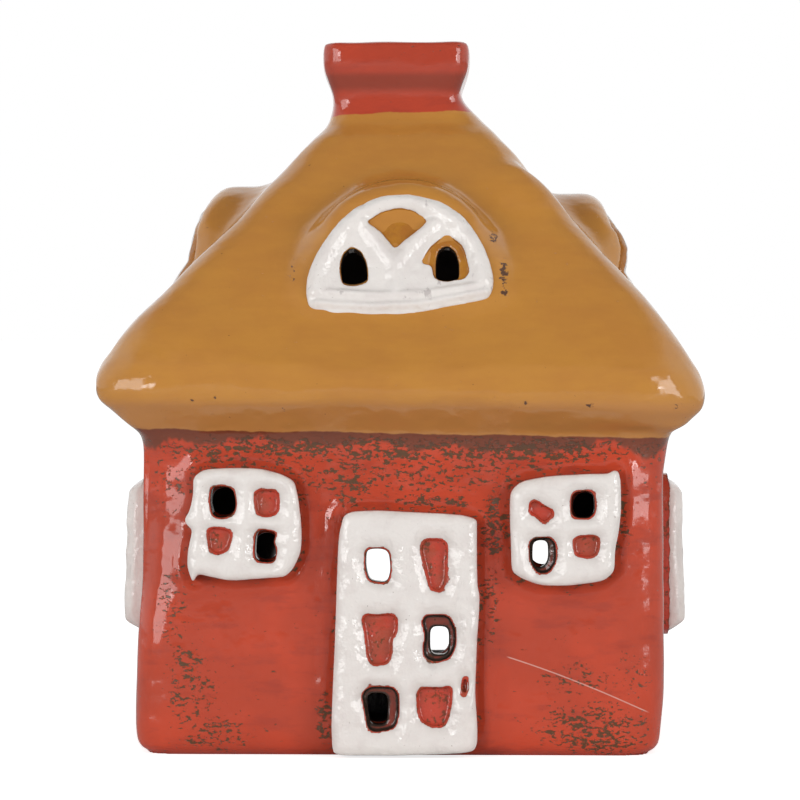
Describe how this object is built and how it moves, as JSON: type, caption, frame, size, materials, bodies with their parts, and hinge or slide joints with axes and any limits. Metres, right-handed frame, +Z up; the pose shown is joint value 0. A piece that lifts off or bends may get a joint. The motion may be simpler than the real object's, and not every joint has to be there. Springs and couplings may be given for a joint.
{
  "type": "tealight house",
  "caption": "Glazed ceramic house for a tealight, with a hipped roof, rounded dormers, a square chimney, raised windows and door with pierced panes, and an open back.",
  "frame": {"origin": "centre of the house's footprint, on the surface that it stands on", "axes": "+Z up to the chimney's top, +Y out of the open back, +X to the right as seen from the front"},
  "size_m": [0.1086, 0.1004, 0.13],
  "materials": {
    "red_glaze": "gloss",
    "mustard_glaze": "gloss",
    "white_glaze": "gloss",
    "foil": "satin",
    "wax": "satin",
    "wick": "matte",
    "tinplate": "satin"
  },
  "bodies": {
    "house": {"floor": "red_glaze", "front_wall": "red_glaze", "back_wall": "red_glaze", "left_wall": "red_glaze", "right_wall": "red_glaze", "chimney_stack": "red_glaze", "chimney_collar": "red_glaze", "roof_front": "mustard_glaze", "roof_back": "mustard_glaze", "roof_left": "mustard_glaze", "roof_right": "mustard_glaze", "front_dormer_hood": "mustard_glaze", "left_dormer_hood": "mustard_glaze", "right_dormer_hood": "mustard_glaze", "front_left_window": "white_glaze", "front_right_window": "white_glaze", "left_window": "white_glaze", "right_window": "white_glaze", "door": "white_glaze", "front_dormer_face": "white_glaze", "left_dormer_face": "white_glaze", "right_dormer_face": "white_glaze"},
    "tealight": {"tealight_cup": "foil", "tealight_wax": "wax", "tealight_wick": "wick", "wick_holder": "tinplate"}
  },
  "joints": [
    {"name": "tealight_lift_out", "type": "slide", "parent": "house", "child": "tealight", "axis": [0.2301, 0.9202, 0.3166], "range_m": [0, 0.077]}
  ]
}
